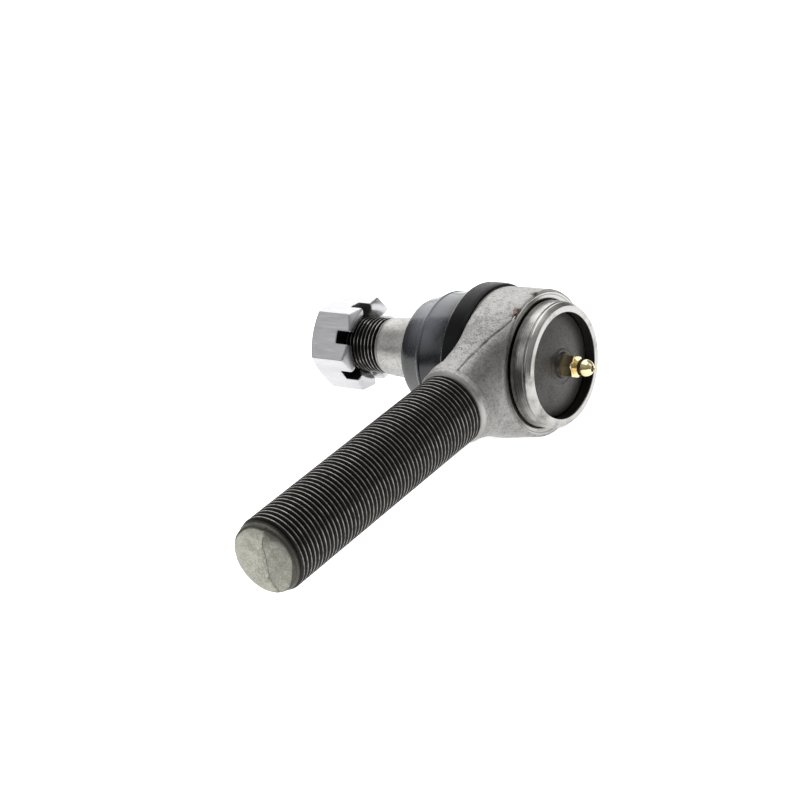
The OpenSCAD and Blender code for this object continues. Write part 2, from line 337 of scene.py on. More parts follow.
def thread_tree():
    """A node tree that rolls a grid into a threaded bar along +Z, its mesh lines along the crests."""
    tree = bpy.data.node_groups.new("cut thread", "GeometryNodeTree")
    face = tree.interface
    face.new_socket("Geometry", in_out="OUTPUT", socket_type="NodeSocketGeometry")
    for label, kind in (
        ("Major Radius", "NodeSocketFloat"),
        ("Depth", "NodeSocketFloat"),
        ("Pitch", "NodeSocketFloat"),
        ("Length", "NodeSocketFloat"),
        ("Hand", "NodeSocketFloat"),
        ("Run Out", "NodeSocketFloat"),
        ("Chamfer", "NodeSocketFloat"),
        ("Chamfer Drop", "NodeSocketFloat"),
        ("Rows", "NodeSocketInt"),
        ("Sides", "NodeSocketInt"),
        ("Finish", "NodeSocketMaterial"),
    ):
        face.new_socket(label, in_out="INPUT", socket_type=kind)
    given = wire(tree, "NodeGroupInput").outputs

    same = ("Pitch", "Length", "Depth", "Hand", "Run Out", "Chamfer")
    value = {label: given[label] for label in same}
    value |= {"drop": given["Chamfer Drop"], "major": given["Major Radius"]}
    counts = {
        axis: wire(tree, "ShaderNodeMath", {0: given[label], 1: 1.0}, operation="ADD").outputs[0]
        for axis, label in (("Vertices X", "Rows"), ("Vertices Y", "Sides"))
    }
    grid = wire(tree, "GeometryNodeMeshGrid", {"Size X": 1.0, "Size Y": 1.0, **counts})
    at = wire(tree, "GeometryNodeInputPosition")
    place = wire(tree, "ShaderNodeSeparateXYZ", {0: at.outputs[0]})
    value |= {"x": place.outputs["X"], "y": place.outputs["Y"]}
    for result, operation, first, second in (
        # where a point of the grid lands along and round the bar
        ("along", "ADD", "x", 0.5),
        ("around", "ADD", "y", 0.5),
        ("span", "ADD", "Length", "Pitch"),
        ("run", "MULTIPLY", "along", "span"),
        ("turns", "DIVIDE", "run", "Pitch"),
        ("phase", "FRACT", "turns", 0.0),
        ("back", "SUBTRACT", "around", 1.0),
        ("shift", "MULTIPLY", "back", "Pitch"),
        ("raw height", "ADD", "run", "shift"),
        ("low height", "MAXIMUM", "raw height", 0.0),
        ("height", "MINIMUM", "low height", "Length"),
        # the groove: no cut on the crest, full cut in the root, faded in at the start
        ("double", "MULTIPLY", "phase", 2.0),
        ("centred", "SUBTRACT", "double", 1.0),
        ("ridge", "ABSOLUTE", "centred", 0.0),
        ("flank", "SUBTRACT", "ridge", 0.17),
        ("flank", "DIVIDE", "flank", 0.66),
        ("flank", "MAXIMUM", "flank", 0.0),
        ("flank", "MINIMUM", "flank", 1.0),
        ("valley", "SUBTRACT", 1.0, "flank"),
        ("fade", "DIVIDE", "height", "Run Out"),
        ("fade", "MINIMUM", "fade", 1.0),
        ("cut", "MULTIPLY", "valley", "Depth"),
        ("cut", "MULTIPLY", "cut", "fade"),
        ("radius", "SUBTRACT", "major", "cut"),
        # the chamfer at the far end
        ("left", "SUBTRACT", "Length", "height"),
        ("cone", "DIVIDE", "left", "Chamfer"),
        ("cone", "MINIMUM", "cone", 1.0),
        ("cone", "SUBTRACT", 1.0, "cone"),
        ("cone", "MULTIPLY", "cone", "drop"),
        ("limit", "SUBTRACT", "major", "cone"),
        ("radius", "MINIMUM", "radius", "limit"),
        # rolled round the bar, either hand
        ("circle", "MULTIPLY", "around", 2 * math.pi),
        ("angle", "MULTIPLY", "circle", "Hand"),
        ("cosine", "COSINE", "angle", 0.0),
        ("sine", "SINE", "angle", 0.0),
        ("across", "MULTIPLY", "radius", "cosine"),
        ("up", "MULTIPLY", "radius", "sine"),
    ):
        links = {0: value.get(first, first), 1: value.get(second, second)}
        value[result] = wire(tree, "ShaderNodeMath", links, operation=operation).outputs[0]
    links = {0: value["across"], 1: value["up"], 2: value["height"]}
    spot = wire(tree, "ShaderNodeCombineXYZ", links)
    links = {"Geometry": grid.outputs[0], "Position": spot.outputs[0]}
    moved = wire(tree, "GeometryNodeSetPosition", links)
    real = wire(tree, "GeometryNodeRealizeInstances", {0: moved.outputs[0]})
    links = {"Geometry": real.outputs[0], "Material": given["Finish"]}
    done = wire(tree, "GeometryNodeSetMaterial", links)
    wire(tree, "NodeGroupOutput", {0: done.outputs[0]})
    return tree


def grown(name, tree, place, finish, **sizes):
    """Runs a node tree with the given sizes, in millimetres, and turns its mesh into place."""
    holder = bpy.data.objects.new(name + "_maker", bpy.data.meshes.new(name + "_maker"))
    bpy.context.scene.collection.objects.link(holder)
    maker = holder.modifiers.new("thread", "NODES")
    maker.node_group = tree
    sockets = {s.name: s.identifier for s in tree.interface.items_tree if s.in_out == "INPUT"}
    for label, value in sizes.items():
        maker[sockets[label.replace("_", " ")]] = value
    maker[sockets["Finish"]] = finish
    holder.update_tag()
    ready = holder.evaluated_get(bpy.context.evaluated_depsgraph_get())
    mesh = bpy.data.meshes.new_from_object(ready)
    mesh.name = name
    mesh.transform(place @ Matrix.Scale(MM, 4))
    bpy.data.objects.remove(holder)
    obj = bpy.data.objects.new(name, mesh)
    bpy.context.scene.collection.objects.link(obj)
    tidy_mesh(obj, 50.0, merge=0.02, fill=True)
    return obj


# ---------------------------------------------------------------- finishes


def linear(code):
    """An sRGB hex colour as linear red, green, blue and alpha."""
    parts = [int(code[i : i + 2], 16) / 255 for i in (1, 3, 5)]
    return [c / 12.92 if c <= 0.04045 else ((c + 0.055) / 1.055) ** 2.4 for c in parts] + [1.0]


def finish_of(name, colour, metallic, roughness, **more):
    """A new material with one shader, its node tree and the shader."""
    material = bpy.data.materials.new(name)
    material.use_nodes = True
    tree = material.node_tree
    tree.nodes.clear()
    given = {"Base Color": linear(colour), "Metallic": metallic, "Roughness": roughness, **more}
    shader = wire(tree, "ShaderNodeBsdfPrincipled", given)
    wire(tree, "ShaderNodeOutputMaterial", {"Surface": shader.outputs[0]})
    return material, tree, shader


def blend_colours(tree, factor, first, second):
    """Mixes two colours, each a hex code or a socket."""
    pair = [linear(c) if isinstance(c, str) else c for c in (first, second)]
    links = {0: factor, 6: pair[0], 7: pair[1]}
    return wire(tree, "ShaderNodeMix", links, data_type="RGBA").outputs[2]


def between(tree, value, low, high, out_low=0.0, out_high=1.0):
    """Maps low..high of a value smoothly to out_low..out_high."""
    links = {0: value, 1: low, 2: high, 3: out_low, 4: out_high}
    return wire(tree, "ShaderNodeMapRange", links, interpolation_type="SMOOTHSTEP").outputs[0]


def per_mm(size):
    """A texture scale whose features are the given number of millimetres across."""
    return 1.0 / (size * MM)


def shot_blasted_forging():
    """Drop-forged steel, blasted and oiled: fine even grain, small scale pits, a few rust spots."""
    material, tree, shader = finish_of("shot-blasted forged steel", "#9a9894", 1.0, 0.5)
    spot = wire(tree, "ShaderNodeTexCoord").outputs["Object"]
    noise = {}
    for label, size, detail, rough in (
        ("cloud", 17.0, 4.0, 0.62),
        ("grain", 0.62, 3.0, 0.65),
        ("mottle", 2.2, 5.0, 0.75),
        ("rust", 9.0, 6.0, 0.7),
    ):
        links = {"Vector": spot, "Scale": per_mm(size), "Detail": detail, "Roughness": rough}
        noise[label] = wire(tree, "ShaderNodeTexNoise", links).outputs[0]
    pits = wire(tree, "ShaderNodeTexVoronoi", {"Vector": spot, "Scale": per_mm(2.6), "Randomness": 1.0})
    pit = between(tree, pits.outputs["Distance"], 0.06, 0.2, 1.0, 0.0)
    where = between(tree, noise["cloud"], 0.5, 0.62)
    pit = wire(tree, "ShaderNodeMath", {0: pit, 1: where}, operation="MULTIPLY").outputs[0]
    colour = blend_colours(tree, between(tree, noise["cloud"], 0.25, 0.75), "#a09f9d", "#bab9b7")
    mottled = between(tree, noise["mottle"], 0.45, 0.68, 0.0, 0.6)
    colour = blend_colours(tree, mottled, colour, "#6e6d6b")
    grained = between(tree, noise["grain"], 0.5, 0.68, 0.0, 0.45)
    colour = blend_colours(tree, grained, colour, "#5f5e5c")
    colour = blend_colours(tree, pit, colour, "#3a3633")
    seam = wire(tree, "ShaderNodeAttribute", attribute_name="seam").outputs["Fac"]
    ragged = wire(
        tree, "ShaderNodeMath", {0: noise["mottle"], 1: -1.3, 2: seam}, operation="MULTIPLY_ADD"
    ).outputs[0]
    seam_dark = between(tree, ragged, -0.5, 0.15, 0.7, 0.0)
    colour = blend_colours(tree, seam_dark, colour, "#33312f")
    # painted shade from the point mark read here, below the parting line
    film = wire(tree, "ShaderNodeAttribute", attribute_name="film").outputs["Fac"]
    colour = blend_colours(tree, film, colour, "#4f4e4c")
    near = wire(tree, "ShaderNodeAttribute", attribute_name="rust").outputs["Fac"]
    patch = wire(
        tree, "ShaderNodeMath", {0: noise["mottle"], 1: -5.0, 2: near}, operation="MULTIPLY_ADD"
    ).outputs[0]
    colour = blend_colours(tree, between(tree, patch, -1.6, 0.2, 0.85, 0.0), colour, "#5d4b42")
    colour = blend_colours(tree, between(tree, patch, -2.4, -1.4, 0.9, 0.0), colour, "#231c19")
    rusty = between(tree, noise["rust"], 0.66, 0.74, 0.0, 0.8)
    colour = blend_colours(tree, rusty, colour, "#6a4a35")
    tree.links.new(colour, shader.inputs["Base Color"])
    tree.links.new(between(tree, noise["grain"], 0.3, 0.7, 0.4, 0.58), shader.inputs["Roughness"])
    grainy = wire(
        tree, "ShaderNodeBump", {"Height": noise["grain"], "Strength": 0.85, "Distance": 0.34 * MM}
    )
    pitted = wire(
        tree,
        "ShaderNodeBump",
        {"Height": pit, "Strength": 0.6, "Distance": 0.3 * MM, "Normal": grainy.outputs[0]},
        invert=True,
    )
    tree.links.new(pitted.outputs[0], shader.inputs["Normal"])
    return material


def radius_about(tree, spot, axis):
    """The coordinate along an axis and the distance from it, as sockets."""
    parts = wire(tree, "ShaderNodeSeparateXYZ", {0: spot})
    across = [parts.outputs[a] for a in "XYZ" if a != axis]
    flat = wire(tree, "ShaderNodeCombineXYZ", {0: across[0], 1: across[1]})
    radius = wire(tree, "ShaderNodeVectorMath", {0: flat.outputs[0]}, operation="LENGTH")
    return parts.outputs[axis], radius.outputs["Value"]


def turned_steel(name, colour, roughness, mark, about="X", stain=0.25, stain_colour="#5d5b58"):
    """Lathe-turned steel: tool marks run round the axis, a fraction of a millimetre apart."""
    material, tree, shader = finish_of(name, colour, 1.0, roughness)
    spot = wire(tree, "ShaderNodeTexCoord").outputs["Object"]
    along, radius = radius_about(tree, spot, about)
    ring = wire(tree, "ShaderNodeCombineXYZ", {0: along, 1: radius})
    links = {"Vector": ring.outputs[0], "Scale": per_mm(mark), "Detail": 2.0}
    marks = wire(tree, "ShaderNodeTexNoise", links, noise_dimensions="2D").outputs[0]
    links = {"Vector": spot, "Scale": per_mm(11.0), "Detail": 5.0, "Roughness": 0.65}
    cloud = wire(tree, "ShaderNodeTexNoise", links).outputs[0]
    stained = blend_colours(tree, between(tree, cloud, 0.45, 0.72, 0.0, stain), colour, stain_colour)
    # painted dark reflection and shade from the point mark read here
    film = wire(tree, "ShaderNodeAttribute", attribute_name="film").outputs["Fac"]
    stained = blend_colours(tree, film, stained, "#3f3e3c")
    tree.links.new(stained, shader.inputs["Base Color"])
    rough = between(tree, marks, 0.3, 0.7, roughness - 0.06, roughness + 0.1)
    tree.links.new(rough, shader.inputs["Roughness"])
    bump = wire(tree, "ShaderNodeBump", {"Height": marks, "Strength": 0.3, "Distance": 0.06 * MM})
    tree.links.new(bump.outputs[0], shader.inputs["Normal"])
    return material


def oiled_thread(name, about, crest_r, crest, valley):
    """Cut thread with black oil in its roots: bright crests, dark flanks."""
    material, tree, shader = finish_of(name, crest, 1.0, 0.3)
    spot = wire(tree, "ShaderNodeTexCoord").outputs["Object"]
    radius = radius_about(tree, spot, about)[1]
    links = {"Vector": spot, "Scale": per_mm(2.4), "Detail": 5.0, "Roughness": 0.75}
    wear = wire(tree, "ShaderNodeTexNoise", links).outputs[0]
    links = {0: wear, 1: 0.5 * MM, 2: radius}
    edge = wire(tree, "ShaderNodeMath", links, operation="MULTIPLY_ADD").outputs[0]
    clean = between(tree, edge, (crest_r + 0.08) * MM, (crest_r + 0.33) * MM)
    colour = blend_colours(tree, clean, valley, crest)
    tree.links.new(colour, shader.inputs["Base Color"])
    tree.links.new(between(tree, clean, 0.0, 1.0, 0.52, 0.26), shader.inputs["Roughness"])
    tree.links.new(between(tree, clean, 0.0, 1.0, 0.75, 1.0), shader.inputs["Metallic"])
    bump = wire(tree, "ShaderNodeBump", {"Height": wear, "Strength": 0.2, "Distance": 0.1 * MM})
    tree.links.new(bump.outputs[0], shader.inputs["Normal"])
    return material


def speckled(
    name,
    colour,
    dark,
    metallic,
    roughness,
    size,
    bump_mm,
    amount=0.5,
    stretch=(1, 1, 1),
    spots=0.0,
    oil_and_shade=None,
    bloom_and_sheen=False,
    **more,
):
    """A base finish broken up by fine speckle, stretched where the surface was drawn or brushed."""
    material, tree, shader = finish_of(name, colour, metallic, roughness, **more)
    spot = wire(tree, "ShaderNodeTexCoord").outputs["Object"]
    spot = wire(tree, "ShaderNodeMapping", {"Vector": spot, "Scale": stretch}).outputs[0]
    links = {"Vector": spot, "Scale": per_mm(size), "Detail": 4.0, "Roughness": 0.65}
    fine = wire(tree, "ShaderNodeTexNoise", links).outputs[0]
    links = {"Vector": spot, "Scale": per_mm(size * 9), "Detail": 3.0}
    broad = wire(tree, "ShaderNodeTexNoise", links).outputs[0]
    both = wire(tree, "ShaderNodeMath", {0: fine, 1: broad}, operation="ADD").outputs[0]
    tinted = blend_colours(tree, between(tree, both, 0.85, 1.25, 0.0, amount), colour, dark)
    # grey bloom with painted sheen on the rubber's top side, strongest on its bulge
    if bloom_and_sheen:
        parts = wire(tree, "ShaderNodeSeparateXYZ", {0: spot}).outputs
        along = parts["X"]
        upper = between(tree, parts["Z"], 7.0 * MM, 25.0 * MM)
        links = {0: broad, 1: 5.0 * MM, 2: along}
        drift = wire(tree, "ShaderNodeMath", links, operation="MULTIPLY_ADD")
        rise = between(tree, drift.outputs[0], -35.0 * MM, -28.0 * MM, 0.2, 1.0)
        fall = between(tree, drift.outputs[0], -22.0 * MM, -12.0 * MM, 1.0, 0.0)
        dust_and_sheen = wire(tree, "ShaderNodeMath", {0: rise, 1: fall}, operation="MULTIPLY").outputs[0]
        dust_and_sheen = wire(tree, "ShaderNodeMath", {0: dust_and_sheen, 1: upper}, operation="MULTIPLY").outputs[0]
        tinted = blend_colours(tree, dust_and_sheen, tinted, "#6b6e75")
    # black oil, and painted shade, where the named mark is low
    if oil_and_shade:
        level = wire(tree, "ShaderNodeAttribute", attribute_name=oil_and_shade).outputs["Fac"]
        links = {0: broad, 1: 0.8, 2: level}
        level = wire(tree, "ShaderNodeMath", links, operation="MULTIPLY_ADD").outputs[0]
        tinted = blend_colours(tree, between(tree, level, 0.1, 0.75, 0.85, 0.0), tinted, "#2b2a27")
    # small dark ragged spots
    if spots:
        links = {"Vector": spot, "Scale": per_mm(spots), "Randomness": 1.0}
        cell = wire(tree, "ShaderNodeTexVoronoi", links).outputs["Distance"]
        links = {0: fine, 1: 0.35, 2: cell}
        cell = wire(tree, "ShaderNodeMath", links, operation="MULTIPLY_ADD").outputs[0]
        tinted = blend_colours(tree, between(tree, cell, 0.24, 0.46, 0.5, 0.0), tinted, "#5c5a57")
    tree.links.new(tinted, shader.inputs["Base Color"])
    rough = between(tree, fine, 0.3, 0.7, max(roughness - 0.07, 0.05), roughness + 0.09)
    tree.links.new(rough, shader.inputs["Roughness"])
    bump = wire(tree, "ShaderNodeBump", {"Height": fine, "Strength": 0.3, "Distance": bump_mm * MM})
    tree.links.new(bump.outputs[0], shader.inputs["Normal"])
    return material


# Pale grey grainy skin with soft clouding; catches no sharp highlight.
FORGED = shot_blasted_forging()
# Rings of fine tool marks draw the light into bright bands, broken by cloudy stains and a painted dark
# reflection.
NOSE = turned_steel("turned steel nose", "#b4b3b0", 0.27, 0.5, stain=0.7, stain_colour="#4c4b49")
# Painted shadow: nearly black, so the recess wall and the groove by the nose read as deep shadow.
PAINTED_SHADOW_STEEL = turned_steel("bored steel in painted shadow", "#504f4d", 0.16, 0.4)
# A bright edge where the collar is turned down to the thread.
COLLAR = turned_steel("blasted steel collar", "#bcbbb8", 0.42, 0.7, about="Y", stain=0.4)
# Thin broken bright crests over black oily roots.
SHANK_THREAD = oiled_thread("oiled shank thread", "Y", SHANK_R, "#8a8884", "#2b2a28")
# Dull warm grey, with painted shade on one side of the break line and at the top, and black oil round
# the rim.
SHEARED = speckled(
    "sheared bar end", "#a8a79c", "#77756b", 0.85, 0.5, 0.8, 0.1, amount=0.6, oil_and_shade="face"
)
# Soft mottled grey with small dark spots.
STUD_GREY = speckled(
    "phosphated stud steel", "#b4b3b0", "#7d7b78", 0.9, 0.42, 0.9, 0.05, amount=0.6, spots=1.7
)
# Brighter crests than the shank's, over blacker roots.
STUD_THREAD = oiled_thread("oiled stud thread", "X", STUD_R, "#aaa9a5", "#151413")
# Clean silver with faint streaks drawn along the flats.
PLATED = speckled(
    "bright zinc-plated steel", "#bebec0", "#a4a4a7", 1.0, 0.34, 0.5, 0.003, 0.35, (0.07, 1, 1)
)
# Painted shadow: slots and bore sink to black and take no highlight.
PAINTED_SHADOW_SLOTS = speckled("slot steel in painted shadow", "#1a1918", "#0e0d0d", 0.6, 0.5, 0.6, 0.02)
# Charcoal with a faint brownish mottle and a dull sheen.
COVER = speckled("black-phosphated plate", "#4e4c4a", "#383634", 0.75, 0.46, 0.9, 0.03, amount=0.6)
# Small crisp golden highlights with a little tarnish between them.
BRASS = speckled("bright turned brass", "#eedfb4", "#c4ac76", 1.0, 0.17, 1.1, 0.01, amount=0.35)
# Blue-black and glossy, with grey bloom and a painted sheen on its top side.
RUBBER = speckled(
    "moulded black rubber", "#14161b", "#0a0b0e", 0.0, 0.2, 1.6, 0.01, bloom_and_sheen=True, IOR=1.5
)
# Painted shade: the darkest band of all, with next to no reflection.
PAINTED_SHADE_SKIRT = speckled("rubber skirt in painted shade", "#0c0d0f", "#060607", 0.0, 0.36, 1.0, 0.01, IOR=1.22)
# Flat black line under the cover.
GASKET = speckled("black gasket rubber", "#121212", "#080808", 0.0, 0.6, 0.8, 0.03)
# Mirror-like grinding rings.
GROUND = turned_steel("ground bearing steel", "#bfbfc1", 0.2, 0.3)
# Grey with a shine of oil.
SPRING = speckled("oiled spring steel", "#6a6a6e", "#404043", 1.0, 0.35, 0.7, 0.02)
# Creamy and soft, unlike the metal round it.
ACETAL = speckled("natural acetal", "#e4dfd0", "#cfc8b6", 0.0, 0.45, 1.5, 0.02, IOR=1.48)
# Even mid grey with faint rolling marks.
RING = speckled("rolled steel ring", "#a4a4a4", "#777777", 1.0, 0.35, 0.7, 0.02)


# ---------------------------------------------------------------- more shapes


def hexagon(p, flats, turn, k):
    """Distance to a hexagonal bar along X, its corners rounded by about k."""
    sides = []
    for step in range(3):
        angle = math.radians(turn + 60 * step)
        sides.append(np.abs(p[..., 1] * math.cos(angle) + p[..., 2] * math.sin(angle)))
    return soft_max(soft_max(sides[0], sides[1], k), sides[2], k) - flats / 2


def castle(p):
    """The slotted nut: chamfered hexagon, plain bore, countersink, six slots facing the boot."""
    x, r = p[..., 0], np.hypot(p[..., 1], p[..., 2])
    body = hexagon(p, NUT_FLATS, NUT_TURN, 0.5)
    middle, half = -(NUT_NEAR + NUT_FAR) / 2, (NUT_FAR - NUT_NEAR) / 2
    off = np.abs(x - middle)
    body = soft_max(body, off - half, 0.4)
    body = soft_max(body, 0.5 * (r - NUT_FLATS / 2 + 0.5) + 0.866 * (off - half), 0.35)
    bore = STUD_R + 0.05 + 2.9 * np.clip((x + NUT_NEAR + 2.4) / 2.4, 0, 1.2)
    bore = bore + 1.05 * np.clip((-NUT_FAR + 1.2 - x) / 1.2, 0, 1.2)
    body = soft_max(body, 0.8 * (bore - r), 0.3)
    for step in range(3):
        angle = math.radians(NUT_TURN + 60 * step)
        across = np.abs(p[..., 2] * math.cos(angle) - p[..., 1] * math.sin(angle))
        slot = soft_max(across - SLOT_W / 2, -NUT_NEAR - SLOT_DEPTH - x, 0.9)
        body = soft_max(body, -slot, 0.35)
    return body


def fitting_hex(p):
    """Distance to the grease fitting's hexagon, the corners of both ends turned down."""
    x, r = p[..., 0], np.hypot(p[..., 1], p[..., 2])
    middle, half = HEX_X + HEX_LEN / 2 - 0.15, HEX_LEN / 2 + 0.15
    off = np.abs(x - middle)
    body = soft_max(hexagon(p, HEX_FLATS, 0.0, 0.16), off - half, 0.12)
    return soft_max(body, 0.5 * (r - HEX_FLATS / 2 - 0.02) + 0.866 * (off - half), 0.12)


def along_shank(obj):
    """Turns a piece lathed about X so that its +X runs down the shank, towards -Y."""
    obj.data.transform(Matrix.Rotation(math.radians(-90), 4, "Z"))
    return obj


def arc(radius, start, stop, steps=8, centre=0.0):
    """Points (radius, x) on a circle about the X axis, from one x to another."""
    return [
        (math.sqrt(max(radius**2 - (x - centre) ** 2, 0.0)), x)
        for x in np.linspace(start, stop, steps)
    ]


def plain(points):
    """Profile points with no rounding."""
    return [(r, x, 0.0) for r, x in points]


def belong(obj, finish, slot, body, *nodes):
    """Gives a piece its finish, the body it rides on and the CAD nodes it replaces. The slot argument
    is not used.
    """
    obj.data.materials.clear()
    obj.data.materials.append(finish)
    if body:
        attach(obj, body)
    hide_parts(*nodes)
    return obj


def repaint(obj, finish, where):
    """Gives a second finish to the faces whose middle, in millimetres, passes a test of x, y and z."""
    obj.data.materials.append(finish)
    for face in obj.data.polygons:
        if where(*(c / MM for c in face.center)):
            face.material_index = 1


def mark_points(obj, **marks):
    """Stores named numbers on an object's points, for its finish to read."""
    for label, values in marks.items():
        mark = obj.data.attributes.new(label, "FLOAT", "POINT")
        values = np.broadcast_to(np.asarray(values, np.float32), len(obj.data.vertices))
        mark.data.foreach_set("value", np.ascontiguousarray(values))


# ---------------------------------------------------------------- socket and shank

head_low = (-FACE_X - 1, -COLLAR_Y - 1, -HEAD_R - 1)
head = polygonise("forged_head", forging, head_low, (17.3, HEAD_R + 1, HEAD_R + 1), 0.5)
at = np.array([v.co for v in head.data.vertices]) / MM
rust_gap = np.min([np.linalg.norm(at - np.array(spot), axis=1) for spot in RUST], axis=0)
seam_gap = seam_distance(at)
# painted shade below the parting line, fading out away from it and round the head
line = np.array(SEAM)[::-1]
seam_z = np.interp(-at[:, 1], -line[:, 1], line[:, 2])
below = np.clip((seam_z - at[:, 2]) / 1.5, 0, 1) * (at[:, 0] > 0)
head_film = 0.68 * below * np.clip(1.2 - seam_gap / 24.0, 0, 1)
head_film *= np.clip((-at[:, 1] - 9.0) / 5.0, 0, 1)
mark_points(head, seam=seam_gap, rust=rust_gap, film=head_film)
belong(head, FORGED, "forged_steel", "housing", "socket_housing")

nose_profile = [
    (RECESS_R, COVER_SEAT_X + 0.2, 0.0),
    (RECESS_R, RIM_X - 0.3, 0.0),
    (RECESS_R + 0.3, RIM_X, 0.2),
    (NOSE_R - 1.5, RIM_X, 0.3),
    (NOSE_R - 0.2, RIM_X - 1.7, 0.4),
    (NOSE_R - 0.2, RIM_X - 2.3, 0.1),
    (NOSE_R - 0.5, RIM_X - 2.5, 0.1),
    (NOSE_R - 0.5, RIM_X - 2.8, 0.1),
    (NOSE_R, RIM_X - 3.0, 0.1),
    (NOSE_R, SHOULDER_X + 0.7, 0.1),
    (NOSE_R - 0.5, SHOULDER_X + 0.4, 0.1),
    (NOSE_R - 0.5, SHOULDER_X - 0.9, 0.1),
    (NOSE_R + 0.25, SHOULDER_X - 0.9, 0.1),
    (NOSE_R + 0.45, SHOULDER_X - 0.2, 0.1),
    (NOSE_R + 0.9, SHOULDER_X, 0.1),
    (NOSE_R + 2.1, SHOULDER_X, 0.1),
    (NOSE_R + 2.3, SHOULDER_X + 0.22, 0.1),
    (HEAD_R - 1.1, SHOULDER_X + 0.22, 0.2),
    (HEAD_R - 0.12, SHOULDER_X - 0.85, 0.25),
    (HEAD_R - 0.5, SHOULDER_X - 1.5, 0.0),
    (NOSE_R, SHOULDER_X - 1.5, 0.0),
    (RECESS_R + 2, COVER_SEAT_X, 0.0),
]
nose = lathe("machined_nose", soften(nose_profile, 4), sides=200, closed=True)
belong(nose, NOSE, "forged_steel", "housing", "socket_housing")
# a painted dark reflection on the nose's side towards the shank
at = np.array([v.co for v in nose.data.vertices]) / MM
nose_film = 0.75 * np.exp(-(((at[:, 2] - 1.0) / 10.0) ** 2)) * (at[:, 1] < 0)
nose_film *= (at[:, 0] < RIM_X - 2.4) * (at[:, 0] > SHOULDER_X + 0.5)
mark_points(nose, film=nose_film)


def in_shadow(x, y, z):
    """Whether a point of the nose is on the recess wall or in the groove by the shoulder."""
    r = math.hypot(y, z)
    wall = r < RECESS_R + 0.12 and x > COVER_SEAT_X
    return wall or (r < NOSE_R + 0.42 and SHOULDER_X - 1.2 < x < SHOULDER_X + 0.6)


# painted shadow: near-black finish on the recess wall and in the groove by the shoulder
repaint(nose, PAINTED_SHADOW_STEEL, in_shadow)

collar_profile = [
    (11.0, COLLAR_Y - 2.2, 0.0),
    (COLLAR_R - 0.5, COLLAR_Y - 1.0, 0.0),
    (COLLAR_R, COLLAR_Y - 0.4, 0.3),
    (COLLAR_R, COLLAR_Y + 1.7, 0.5),
    (SHANK_R + 0.1, THREAD_START - 0.9, 0.4),
    (SHANK_R - 1.1, THREAD_START - 0.1, 0.1),
    (SHANK_R - 1.2, THREAD_START + 0.4, 0.0),
    (11.0, THREAD_START + 0.4, 0.0),
]
collar = along_shank(lathe("shank_collar", soften(collar_profile, 4), closed=True))
# the mark of 0.2 gives the whole collar an even painted shade
mark_points(collar, seam=99.0, rust=99.0, film=0.2)
belong(collar, FORGED, "forged_steel", "housing", "socket_housing")
repaint(collar, COLLAR, lambda x, y, z: -y > COLLAR_Y + 1.8)

THREAD = thread_tree()
ROWS_A_TURN, THREAD_SIDES = 12, 96
shank_turns = math.ceil((SHANK_END - LEAD_IN - THREAD_START) / SHANK_PITCH)
shank_thread = grown(
    "shank_thread",
    THREAD,
    Matrix.Translation((0, -THREAD_START * MM, 0)) @ Matrix.Rotation(math.radians(90), 4, "X"),
    SHANK_THREAD,
    Major_Radius=SHANK_R,
    Depth=1.3,
    Pitch=SHANK_PITCH,
    Length=shank_turns * SHANK_PITCH,
    Hand=-1.0,
    Run_Out=0.6,
    Chamfer=2.0,
    Chamfer_Drop=0.8,
    Rows=ROWS_A_TURN * (shank_turns + 1),
    Sides=THREAD_SIDES,
)
belong(shank_thread, SHANK_THREAD, "forged_steel", "housing", "socket_housing")


# The break line across the end face: its place at heights up the face
RIDGE_Z = [-13.0, -11.8, -6.5, 0.5, 6.6, 14.0]
RIDGE_X = [3.6, 3.0, 0.7, 1.4, 1.3, 4.5]


def broken_face(r, t, edge, waves):
    """How far the sheared face drops at radius r and angle t, and how clean of oil and painted shade it
    is there.
    """
    x, z = r * math.cos(t), r * math.sin(t)
    crack = x - np.interp(z, RIDGE_Z, RIDGE_X) - 0.15 * math.sin(2.1 * z)
    lean = max(0.0, 0.9 * x + 0.43 * z - 3.0) / 10
    ripple = 0.035 * sum(math.sin(f * x + a) * math.sin(f * z + b) for f, a, b in waves)
    # a groove along the break, a step across it, ripples, and a rounded leaning rim
    drop = 0.34 * math.exp(-((crack / 0.45) ** 2)) + 0.25 / (1 + math.exp(-crack * 2.5))
    drop += max(0.0, ripple + 0.07) + 0.4 * (r / edge) ** 5 + 1.5 * lean**1.5
    drop += max(0.0, r - 12.6) * 1.1
    # oil on the rim and in the groove, and painted shade past the break and at the top
    clean = 12.7 - r - 1.1 * lean + 0.2 * math.sin(2 * t) + 0.2 * math.sin(5 * t)
    clean = min(clean, abs(crack) * 1.6 - 0.25)
    film = 0.41 / (1 + math.exp(-crack * 4.0)) + 0.38 / (1 + math.exp(8.5 - z))
    return drop, min(clean, 0.5 - film + 0.7 * ripple)


